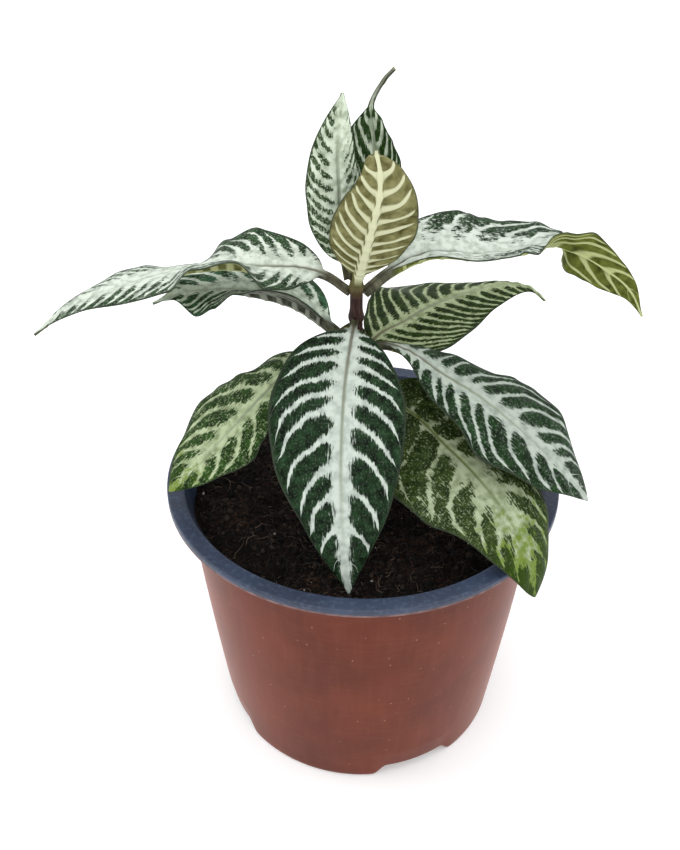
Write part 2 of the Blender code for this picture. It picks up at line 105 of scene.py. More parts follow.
def feed(node, inputs):
    """Gives a node's sockets, by name or number, a value, a hex colour or a link from an output."""
    for key, value in inputs.items():
        if isinstance(value, bpy.types.NodeSocket):
            node.id_data.links.new(value, node.inputs[key])
        else:
            node.inputs[key].default_value = linear(value) if isinstance(value, str) else value


def add(tree, kind, inputs=None, stops=(), **settings):
    """Adds one shader node with its inputs, its colour ramp's stops and its settings, and returns the output
    in use."""
    node = tree.nodes.new("ShaderNode" + kind)
    for key, value in settings.items():
        setattr(node, key, value)
    feed(node, inputs or {})
    if stops:
        elements = node.color_ramp.elements
        while len(elements) < len(stops):
            elements.new(0.5)
        for element, (position, colour) in zip(elements, stops):
            element.position = position
            element.color = linear(colour)
    return next(output for output in node.outputs if output.enabled)


def new_material(name, **uniform):
    """A material, its nodes and its Principled shader, whose own sockets take the uniform values."""
    made = bpy.data.materials.new(name)
    made.use_nodes = True
    shader = made.node_tree.nodes["Principled BSDF"]
    feed(shader, {key.replace("_", " "): value for key, value in uniform.items()})
    return made, made.node_tree, shader


def link_mesh(name, points, face_sets, materials):
    """A smooth mesh object from points in millimetres and sets of faces with equally many corners."""
    mesh = bpy.data.meshes.new(name)
    mesh.vertices.add(len(points))
    mesh.vertices.foreach_set("co", (np.asarray(points) * MM).astype(np.float32).ravel())
    corners = np.concatenate([faces.ravel() for faces in face_sets]).astype(np.int32)
    counts = np.concatenate([np.full(len(faces), faces.shape[1]) for faces in face_sets])
    mesh.loops.add(len(corners))
    mesh.loops.foreach_set("vertex_index", corners)
    mesh.polygons.add(len(counts))
    mesh.polygons.foreach_set("loop_start", (np.cumsum(counts) - counts).astype(np.int32))
    for material in materials:
        mesh.materials.append(material)
    mesh.update(calc_edges=True)
    mesh.shade_smooth()
    made = bpy.data.objects.new(name, mesh)
    bpy.context.scene.collection.objects.link(made)
    return made


def unit(value):
    """The value, kept between 0 and 1."""
    return np.clip(value, 0, 1)


def eased(share):
    """A share that leaves 0 and reaches 1 gently: 3u^2 - 2u^3."""
    return share * share * (3 - 2 * share)


def full_turn(sides):
    """Even angles once round."""
    return np.arange(sides) * 2 * np.pi / sides


def around(radius, turn, height):
    """Points at a radius from the upright axis, an angle about it and a height."""
    return np.stack(np.broadcast_arrays(radius * np.cos(turn), radius * np.sin(turn), height), axis=-1)


def closed_rings(rings):
    """Points and faces of a solid through rows of points that run round it. Each end row is closed to its
    middle."""
    rows, columns = rings.shape[:2]
    number = np.arange(rows * columns).reshape(rows, columns)
    following = np.roll(number, -1, axis=1)
    sides = np.stack([number[:-1], following[:-1], following[1:], number[1:]], -1).reshape(-1, 4)
    middle = np.full(columns, rows * columns)
    ends = [np.stack([following[0], number[0], middle], -1),
            np.stack([number[-1], following[-1], middle + 1], -1)]
    points = np.concatenate([rings.reshape(-1, 3), rings[0].mean(0)[None], rings[-1].mean(0)[None]])
    return points, [sides, np.concatenate(ends)]


def rounded_path(corners, steps=6):
    """A polyline of (radius, height, rounding). Each corner becomes a quadratic curve that starts its
    rounding before it, and a rounding of 0 keeps the corner."""
    corners = np.asarray(corners, float)
    bend = np.linspace(0, 1, steps)[:, None]
    path = [corners[:1, :2]]
    for before, corner, after in zip(corners[:-2], corners[1:-1], corners[2:]):
        middle = corner[:2]
        if corner[2] == 0:
            path.append(middle[None])
            continue
        first, last = [middle + (end[:2] - middle) * min(0.5, corner[2] / np.linalg.norm(end[:2] - middle))
                       for end in (before, after)]
        path.append((1 - bend) ** 2 * first + 2 * bend * (1 - bend) * middle + bend**2 * last)
    path.append(corners[-1:, :2])
    return np.concatenate(path)


def wall_radius(height):
    """Outer radius of the tapered wall: a straight line from base to neck, plus a sine bulge."""
    share = height / POT_NECK_HEIGHT
    return POT_BASE_RADIUS + (POT_NECK_RADIUS - POT_BASE_RADIUS) * share + WALL_BULGE * np.sin(np.pi * share)


def channel_rise(radius, turn):
    """Rise of the base over a drainage channel: full within its flat angle, and eased down over its ramp
    angle and inwards from the full radius to the start radius."""
    pitch = 360.0 / CHANNEL_COUNT
    away = np.abs((np.degrees(turn) - CHANNEL_AZIMUTH + pitch / 2) % pitch - pitch / 2)
    ramp = unit((CHANNEL_FLAT_HALF_ANGLE + CHANNEL_RAMP_ANGLE - away) / CHANNEL_RAMP_ANGLE)
    inward = unit((radius - CHANNEL_START_RADIUS) / (CHANNEL_FULL_RADIUS - CHANNEL_START_RADIUS))
    return CHANNEL_HEIGHT * eased(ramp) * eased(inward)


def turned(profile, sides=POT_SIDES):
    """Rows of points of a (radius, height) profile turned about the pot's axis, risen over the channels."""
    turn = full_turn(sides)
    radius, height = profile[:, :1], profile[:, 1:]
    lift = channel_rise(radius, turn) * unit(1 - height / CHANNEL_FADE_HEIGHT)
    return around(radius, turn, height + lift)


lip_bottom = POT_HEIGHT - FLANGE_LIP_HEIGHT
cut_top = lip_bottom + CUT_EDGE_HEIGHT
flange_under = POT_HEIGHT - POT_WALL
lip_inside = FLANGE_RADIUS - POT_WALL
wall_heights = np.linspace(WALL_FOOT, WALL_TOP, 84)
mould_line = MOULD_LINE_RISE * np.exp(-(((wall_heights - MOULD_LINE_HEIGHT) / MOULD_LINE_HALF_WIDTH) ** 2))
outer_base = rounded_path(
    [*[(radius, 0, 0) for radius in (0.4, 12, CHANNEL_START_RADIUS, 25, CHANNEL_FULL_RADIUS, 38, 45)],
     (POT_BASE_RADIUS, 0, BASE_CORNER), (wall_radius(WALL_FOOT), WALL_FOOT, 0)])
outer_wall = np.stack([wall_radius(wall_heights) + mould_line, wall_heights], axis=1)
flange = rounded_path(
    [(*outer_wall[-1], 0), (POT_NECK_RADIUS, POT_NECK_HEIGHT, 1.2),
     (FLANGE_INNER_RADIUS + 0.4, flange_under, 0.8), (lip_inside, flange_under, 0.5),
     (lip_inside, lip_bottom, 0.3), (FLANGE_RADIUS, lip_bottom, 0.3), (FLANGE_RADIUS, cut_top, 0),
     (FLANGE_RADIUS, cut_top + 0.02, 0), (FLANGE_RADIUS, POT_HEIGHT, 0.8),
     (FLANGE_INNER_RADIUS, POT_HEIGHT, 0.9), (POT_NECK_RADIUS - POT_WALL, POT_NECK_HEIGHT, 1.5),
     (wall_radius(90.0) - POT_WALL, 90.0, 0)])
inner_heights = np.linspace(86, 6, 30)
inner_wall = np.stack([wall_radius(inner_heights) - POT_WALL, inner_heights], axis=1)
inner_base = rounded_path(
    [(wall_radius(5.0) - POT_WALL, 5.0, 0), (POT_BASE_RADIUS - POT_WALL, POT_WALL, BASE_CORNER),
     *[(radius, POT_WALL, 0) for radius in INNER_FLOOR_RADII]])
pot_profile = np.concatenate([outer_base[:-1], outer_wall, flange[1:], inner_wall, inner_base])

# Thermoformed polystyrene sheet: a satin skin with upright streaks, faint scuffs and a few pale specks.
pot_outside, tree, shader = new_material(
    "thermoformed_terracotta_polystyrene", Roughness=0.5, IOR=1.55, Specular_IOR_Level=0.15,
    Sheen_Weight=0.35, Sheen_Roughness=0.3, Sheen_Tint="ffd8d0")
place = add(tree, "TexCoord").node.outputs["Object"]
cloud = add(tree, "TexNoise", {"Vector": place, "Scale": 1 / (26 * MM), "Detail": 3.0})
upright = add(tree, "Mapping", {"Vector": place, "Scale": (1.0, 1.0, 0.14)})
streak = add(tree, "TexNoise", {"Vector": upright, "Scale": 1 / (2.4 * MM), "Detail": 4.0})
level = add(tree, "Mapping", {"Vector": place, "Scale": (0.10, 0.10, 1.0)})
scuff = add(tree, "TexNoise", {"Vector": level, "Scale": 1 / (1.1 * MM), "Detail": 2.0})
speck = add(tree, "TexVoronoi", {"Vector": place, "Scale": 1 / (4.5 * MM)})
tone = add(tree, "ValToRGB", {0: cloud}, [(0.34, "541f0c"), (0.7, "662811")])
marks = ((streak, 0.45, 0.8, 0.11, "8c4f3c"), (scuff, 0.5, 0.8, 0.06, "9c6450"),
         (speck, 0.07, 0.04, 0.55, "b08a78"))
for mark, start, full, share, colour in marks:
    part = add(tree, "MapRange", {0: mark, 1: start, 2: full, 4: share})
    tone = add(tree, "Mix", {0: part, 6: tone, 7: colour}, data_type="RGBA")
skin = add(tree, "TexNoise", {"Vector": place, "Scale": 1 / (0.7 * MM), "Detail": 3.0})
relief = add(tree, "Math", {0: skin, 1: streak}, operation="ADD")
bump = add(tree, "Bump", {"Height": relief, "Strength": 0.5, "Distance": 0.06 * MM})
feed(shader, {"Base Color": tone, "Normal": bump})

# The inner layer: slate blue, a little glossier, dusty from the potting bench.
pot_inside, tree, shader = new_material(
    "thermoformed_slate_blue_polystyrene", Roughness=0.42, IOR=1.55, Specular_IOR_Level=0.4)
place = add(tree, "TexCoord").node.outputs["Object"]
cloud = add(tree, "TexNoise", {"Vector": place, "Scale": 1 / (12 * MM), "Detail": 4.0})
dust = add(tree, "TexNoise", {"Vector": place, "Scale": 1 / (1.6 * MM), "Detail": 5.0, "Roughness": 0.65})
tone = add(tree, "ValToRGB", {0: cloud}, [(0.32, "1e283b"), (0.68, "2a374f")])
dust_part = add(tree, "MapRange", {0: dust, 1: 0.5, 2: 0.75, 4: 0.4})
dusty = add(tree, "Mix", {0: dust_part, 6: tone, 7: "5c6980"}, data_type="RGBA")
bump = add(tree, "Bump", {"Height": dust, "Strength": 0.4, "Distance": 0.08 * MM})
feed(shader, {"Base Color": dusty, "Normal": bump})

# The pale cut through both layers along the lip.
pot_edge, tree, shader = new_material(
    "cut_terracotta_polystyrene", Roughness=0.6, IOR=1.55, Specular_IOR_Level=0.15)
place = add(tree, "TexCoord").node.outputs["Object"]
nick = add(tree, "TexNoise", {"Vector": place, "Scale": 1 / (3 * MM), "Detail": 3.0})
feed(shader, {"Base Color": add(tree, "ValToRGB", {0: nick}, [(0.35, "5f4645"), (0.7, "806766")])})

pot_points, pot_faces = closed_rings(turned(pot_profile))
pot = link_mesh("pot_shell", pot_points, pot_faces, [pot_outside, pot_inside, pot_edge])
row_of_face = np.concatenate([np.repeat(np.arange(len(pot_profile) - 1), POT_SIDES), np.zeros(POT_SIDES),
                              np.full(POT_SIDES, len(pot_profile))])
radii, heights = pot_profile.T
lip_from = np.argmax((radii > FLANGE_RADIUS - 0.31) & (np.abs(heights - lip_bottom) < 0.3))
blue_from = np.argmax((radii > FLANGE_RADIUS - 0.01) & (heights > cut_top - 0.005))
look_of_face = np.where(row_of_face >= blue_from, 1, np.where(row_of_face >= lip_from, 2, 0))
pot.data.polygons.foreach_set("material_index", look_of_face.astype(np.int32))

drain = np.arange(2 * CHANNEL_COUNT)
drain_turns = np.radians(CHANNEL_AZIMUTH + 360 / CHANNEL_COUNT * (drain // 2)
                         + DRAIN_HALF_ANGLE * (2 * (drain % 2) - 1))
drill_heights = np.array([[CHANNEL_HEIGHT - DRILL_REACH], [CHANNEL_HEIGHT + POT_WALL + DRILL_REACH]])
drill_rings = around(DRAIN_RADIUS, full_turn(DRILL_SIDES), drill_heights)
drill_points, drill_faces = [], []
for number, drain_turn in enumerate(drain_turns):
    points, faces = closed_rings(drill_rings + around(DRAIN_CENTRE_RADIUS, drain_turn, 0.0))
    drill_faces.append([part + len(points) * number for part in faces])
    drill_points.append(points)
drill = link_mesh("drill", np.concatenate(drill_points),
                  [np.concatenate(parts) for parts in zip(*drill_faces)], [])
drilled = pot.modifiers.new("drain_holes", "BOOLEAN")
drilled.object = drill
drilled.operation = "DIFFERENCE"
drilled.solver = "EXACT"
graph = bpy.context.evaluated_depsgraph_get()
pot.data = bpy.data.meshes.new_from_object(pot.evaluated_get(graph))
pot.modifiers.clear()
bpy.data.objects.remove(drill)
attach(pot, "root")
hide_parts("pot")

# Potting soil
# Moist dark peat and bark that fills the pot to a centimetre below its rim and holds the roots.
# Its top is crumbly, with loose crumbs, thin root and coir fibres and a few pale grains pressed into it.
SOIL_LEVEL = 87.5
SOIL_ROUGHNESS = 0.9
SOIL_ROWS = 130
SOIL_SIDES = 384
SOIL_WALL_GAP = 0.05
SOIL_FLOOR_GAP = 0.4
SOIL_CORNER = 3.2
CLOD_SIZE = 4.0
CRUMB_SIZE = 1.9
GRIT_SIZE = 0.9
LATTICE = 64
CRUMB_COUNT = 2600
FIBRE_COUNT = 900
FIBRE_STEPS = 7
GRAIN_COUNT = 60
STEM_X = -2.7
STEM_Y = 0.0


def lattice_noise(x, y, size, seed):
    """Smooth noise from 0 to 1: random values on a square lattice of that size, eased between corners."""
    table = np.random.default_rng(seed).random((LATTICE, LATTICE))
    column, row = np.floor(x / size).astype(int), np.floor(y / size).astype(int)
    u, v = eased(x / size - column), eased(y / size - row)
    before, after = column % LATTICE, (column + 1) % LATTICE
    near, far = [table[before, line % LATTICE] * (1 - u) + table[after, line % LATTICE] * u
                 for line in (row, row + 1)]
    return near * (1 - v) + far * v


def soil_height(x, y):
    """Level of the soil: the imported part's crossed waves, and clods, crumbs and grit of lattice noise."""
    long_wave = np.sin(0.11 * x + 0.07 * y + 0.6) + np.sin(0.09 * y - 0.05 * x + 2.1)
    short_wave = np.sin(0.31 * x - 0.23 * y) * np.sin(0.27 * y + 0.17 * x + 1.3)
    clods = 1 - np.abs(2 * lattice_noise(x, y, CLOD_SIZE, 1) - 1)
    crumbs = 1 - np.abs(2 * lattice_noise(x + 7, y - 3, CRUMB_SIZE, 2) - 1)
    grit = lattice_noise(x, y, GRIT_SIZE, 3)
    relief = 1.1 * (clods - 0.5) + 1.0 * (crumbs - 0.5) + 0.6 * (grit - 0.5)
    return SOIL_LEVEL + SOIL_ROUGHNESS * (0.5 * long_wave + 0.6 * short_wave) + relief


def scattered(count, seed):
    """Places spread evenly over the soil: the radius is the square root of a random share of the disc."""
    chance = np.random.default_rng(seed)
    radius = (wall_radius(SOIL_LEVEL) - POT_WALL - 1.0) * np.sqrt(chance.random(count))
    turn = 2 * np.pi * chance.random(count)
    return radius * np.cos(turn), radius * np.sin(turn), chance


soil_radius = wall_radius(SOIL_LEVEL) - POT_WALL - SOIL_WALL_GAP
top = around(np.linspace(0.3, soil_radius, SOIL_ROWS)[:, None], full_turn(SOIL_SIDES), 0.0)
top[:, :, 2] = soil_height(top[:, :, 0], top[:, :, 1])
side_heights = np.linspace(85.0, 6.0, 12)
side_profile = np.stack([wall_radius(side_heights) - POT_WALL - SOIL_WALL_GAP, side_heights], axis=1)
under_profile = [(radius, POT_WALL + SOIL_FLOOR_GAP)
                 for radius in (POT_BASE_RADIUS - SOIL_CORNER, *INNER_FLOOR_RADII)]
body = turned(np.concatenate([side_profile, under_profile]), SOIL_SIDES)
soil_points, soil_faces = closed_rings(np.concatenate([top, body])[::-1])

# Peat: almost black when moist, with brown fibres and the odd paler crumb; dull, with a faint damp gloss.
peat, tree, shader = new_material("moist_peat", Roughness=0.85, IOR=1.4, Specular_IOR_Level=0.15)
place = add(tree, "TexCoord").node.outputs["Object"]
crumb = add(tree, "TexNoise", {"Vector": place, "Scale": 1 / (1.3 * MM), "Detail": 5.0, "Roughness": 0.7})
patch = add(tree, "TexNoise", {"Vector": place, "Scale": 1 / (14 * MM), "Detail": 2.0})
weighed = add(tree, "Math", {0: patch, 1: 0.5, 2: crumb}, operation="MULTIPLY_ADD")
tone = add(tree, "ValToRGB", {0: weighed},
           [(0.55, "050404"), (0.76, "100b09"), (0.9, "2b1d16"), (1.0, "4c382b")])
bump = add(tree, "Bump", {"Height": crumb, "Strength": 0.9, "Distance": 0.5 * MM})
feed(shader, {"Base Color": tone, "Normal": bump})
soil = link_mesh("soil_bed", soil_points, soil_faces, [peat])
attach(soil, "root")
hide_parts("soil")


def tinted(name, stops, **uniform):
    """A material whose colour follows the piece's own shade, with a fine grain over it."""
    made, tree, shader = new_material(name, **uniform)
    shade = add(tree, "Attribute", attribute_name="shade").node.outputs["Fac"]
    place = add(tree, "TexCoord").node.outputs["Object"]
    grain = add(tree, "TexNoise", {"Vector": place, "Scale": 1 / (0.5 * MM), "Detail": 3.0})
    mixed = add(tree, "Math", {0: grain, 1: 0.4, 2: shade}, operation="MULTIPLY_ADD")
    feed(shader, {"Base Color": add(tree, "ValToRGB", {0: mixed}, stops)})
    return made


def lay_loose(name, points, face_sets, shades, material):
    """Bits that lie loose on the soil, as one piece, whose material turns each point's shade into a tone."""
    made = link_mesh(name, points, face_sets, [material])
    made.data.attributes.new("shade", "FLOAT", "POINT").data.foreach_set("value", shades.astype(np.float32))
    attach(made, "root")


# Crumbs: icosahedra stretched and turned at random.
golden = (1 + math.sqrt(5)) / 2
lump_points = np.array([(-1, golden, 0), (1, golden, 0), (-1, -golden, 0), (1, -golden, 0), (0, -1, golden),
                        (0, 1, golden), (0, -1, -golden), (0, 1, -golden), (golden, 0, -1), (golden, 0, 1),
                        (-golden, 0, -1), (-golden, 0, 1)]) / math.hypot(1, golden)
lump_faces = np.array([(0, 11, 5), (0, 5, 1), (0, 1, 7), (0, 7, 10), (0, 10, 11), (1, 5, 9), (5, 11, 4),
                       (11, 10, 2), (10, 7, 6), (7, 1, 8), (3, 9, 4), (3, 4, 2), (3, 2, 6), (3, 6, 8),
                       (3, 8, 9), (4, 9, 5), (2, 4, 11), (6, 2, 10), (8, 6, 7), (9, 8, 1)])


def lumps(count, seed, smallest, largest, sunk):
    """Points, faces and shades of lumps on the soil. Sizes follow a random number's cube: most are small."""
    x, y, chance = scattered(count, seed)
    size = smallest + (largest - smallest) * chance.random(count) ** 3
    stretch = 0.55 + 0.9 * chance.random((count, 1, 3))
    rough = 1 + 0.25 * (chance.random((count, 12, 1)) - 0.5)
    turns = np.linalg.qr(chance.normal(size=(count, 3, 3)))[0]
    turns *= np.sign(np.linalg.det(turns))[:, None, None]
    points = (lump_points[None] * rough * stretch) @ turns * size[:, None, None]
    points += np.stack([x, y, soil_height(x, y) + size * sunk], axis=1)[:, None]
    faces = lump_faces[None] + 12 * np.arange(count)[:, None, None]
    return points.reshape(-1, 3), [faces.reshape(-1, 3)], np.repeat(chance.random(count), 12)


lay_loose("soil_crumbs", *lumps(CRUMB_COUNT, 11, 0.3, 1.2, 0.1),
          tinted("peat_and_bark_crumbs", [(0.2, "060505"), (0.8, "13100d"), (1.1, "2e2620")], Roughness=0.85,
                 Specular_IOR_Level=0.15))
lay_loose("soil_grains", *lumps(GRAIN_COUNT, 12, 0.2, 0.5, 0.4),
          tinted("pale_mineral_grains", [(0.2, "6b6055"), (1.2, "b5aca0")], Roughness=0.7))

# Fibres: thin three-sided tubes that wander over the crumbs.
x, y, chance = scattered(FIBRE_COUNT, 13)
heading = 2 * np.pi * chance.random((FIBRE_COUNT, 1))
heading = heading + np.cumsum(0.55 * chance.normal(size=(FIBRE_COUNT, FIBRE_STEPS)), 1)
stride = 0.5 + 1.0 * chance.random((FIBRE_COUNT, 1))
route_x = x[:, None] + np.cumsum(stride * np.cos(heading), 1)
route_y = y[:, None] + np.cumsum(stride * np.sin(heading), 1)
inside = np.minimum(1, (soil_radius - 0.6) / np.hypot(route_x, route_y))
route_x, route_y = route_x * inside, route_y * inside
arch = np.sin(np.pi * np.linspace(0, 1, FIBRE_STEPS)) * 1.3 * chance.random((FIBRE_COUNT, 1)) ** 2
route = np.stack([route_x, route_y, soil_height(route_x, route_y) + 0.15 + arch], axis=2)
along_route = np.gradient(route, axis=1)
along_route /= np.linalg.norm(along_route, axis=2)[:, :, None]
beside = np.cross(along_route, (0, 0, 1.0))
beside /= np.linalg.norm(beside, axis=2)[:, :, None] + 1e-9
above = np.cross(beside, along_route)
thickness = 0.07 + 0.10 * chance.random((FIBRE_COUNT, 1, 1, 1))
thickness = thickness * np.linspace(1, 0.4, FIBRE_STEPS)[:, None, None]
corner = full_turn(3)[:, None]
section = np.cos(corner) * beside[:, :, None] + np.sin(corner) * above[:, :, None]
tube = route[:, :, None] + thickness * section
one_points, one_faces = closed_rings(tube[0])
fibre_points = np.concatenate(
    [tube.reshape(FIBRE_COUNT, -1, 3), tube[:, 0].mean(1)[:, None], tube[:, -1].mean(1)[:, None]], axis=1)
shift = len(one_points) * np.arange(FIBRE_COUNT)[:, None, None]
lay_loose("soil_fibres", fibre_points.reshape(-1, 3),
          [(part[None] + shift).reshape(-1, part.shape[1]) for part in one_faces],
          np.repeat(chance.random(FIBRE_COUNT), len(one_points)),
          tinted("root_and_coir_fibres", [(0.2, "0a0605"), (0.9, "241912"), (1.3, "5c4a3b")], Roughness=0.7))

# Stem
# One upright young stem with maroon-brown skin, ringed and swollen at each pair of leaf stalks.
# It comes out of the soil and ends in a tiny pointed bud between the top leaves.
STEM_FOOT_RADIUS = 2.5
STEM_TOP_RADIUS = 1.8
STEM_TOP = 170.6
STEM_FOOT = 70.0
STEM_SIDES = 48
NODE_HEIGHTS = (131.0, 141.0, 149.5, 157.5, 167.0)
NODE_SWELLING = 0.45
NODE_HALF_HEIGHT = 1.6
SCAR_DEPTH = 0.16
SCAR_BELOW_NODE = 1.9
SCAR_HALF_HEIGHT = 0.35
BUD_LENGTH = 5.0

stem_heights = np.linspace(STEM_FOOT, STEM_TOP, 240)
stem_share = unit((stem_heights - SOIL_LEVEL) / (STEM_TOP - SOIL_LEVEL))
stem_radii = STEM_FOOT_RADIUS + (STEM_TOP_RADIUS - STEM_FOOT_RADIUS) * stem_share
for node_height in NODE_HEIGHTS:
    stem_radii += NODE_SWELLING * np.exp(-(((stem_heights - node_height) / NODE_HALF_HEIGHT) ** 2))
    scar_height = node_height - SCAR_BELOW_NODE
    stem_radii -= SCAR_DEPTH * np.exp(-(((stem_heights - scar_height) / SCAR_HALF_HEIGHT) ** 2))
bud_share = np.linspace(0.02, 1, 16)
stem_heights = np.concatenate([stem_heights, STEM_TOP + BUD_LENGTH * bud_share])[:, None]
stem_radii = np.concatenate([stem_radii, STEM_TOP_RADIUS * (1 - bud_share) ** 0.75 + 0.02])[:, None]
turn = full_turn(STEM_SIDES)
ribbed = 1 + 0.03 * np.cos(4 * turn) + 0.012 * np.sin(11 * turn + 0.05 * stem_heights)
stem_points, stem_faces = closed_rings(around(stem_radii * ribbed, turn, stem_heights) + (STEM_X, STEM_Y, 0))

# Young bark: smooth maroon-brown skin with fine upright lines, greener towards the bud.
bark, tree, shader = new_material("maroon_stem_skin", Roughness=0.45, IOR=1.45, Specular_IOR_Level=0.2)
place = add(tree, "TexCoord").node.outputs["Object"]
upright = add(tree, "Mapping", {"Vector": place, "Scale": (1.0, 1.0, 0.12)})
line = add(tree, "TexNoise", {"Vector": upright, "Scale": 1 / (0.6 * MM), "Detail": 4.0})
skin_tone = add(tree, "ValToRGB", {0: line}, [(0.3, "180a08"), (0.5, "2a140f"), (0.72, "4c3026")])
height = add(tree, "SeparateXYZ", {0: place}).node.outputs["Z"]
green_part = add(tree, "MapRange", {0: height, 1: 164 * MM, 2: 171 * MM, 4: 0.8})
greened = add(tree, "Mix", {0: green_part, 6: skin_tone, 7: "6d6a3c"}, data_type="RGBA")
bump = add(tree, "Bump", {"Height": line, "Strength": 0.5, "Distance": 0.1 * MM})
feed(shader, {"Base Color": greened, "Normal": bump})
stem = link_mesh("stem_and_bud", stem_points, stem_faces, [bark])
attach(stem, "root")
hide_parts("stem")

# Leaves
# Each leaf is one waxy blade with its stalk, quilted between side veins that arch from a sunken midrib.
# Upper sides are deep green with white feathered veins, undersides olive with pale veins.
# Its spine, face, widths, fold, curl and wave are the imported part's. A pair is for its left and right half.
STALK_HALF_WIDTH = 1.15
STALK_SINK = 1.2
TIP_HALF_WIDTH = 0.3
RIB_HALF_WIDTH = 1.45
RIB_DEPTH_AT_STALK = 2.3
RIB_DEPTH_AT_TIP = 0.9
SHEET_THICKNESS = 0.5
GROOVE_DEPTH = 0.3
GROOVE_HALF_WIDTH = 0.55
QUILT_HEIGHT = 0.4
RAISED_VEIN = 0.22
RAISED_VEIN_HALF_WIDTH = 0.5
MARGIN_WAVES = 4
LEAF_ROWS = 131
HALF_COLUMNS = 28
COLUMN_CROWDING = 1.35
VEIN_LEAN = 0.47
VEIN_ARCH = 0.57
VEINS_BEYOND = 40
FIELDS = ("pattern", "reach", "sheet", "tint_and_shade")
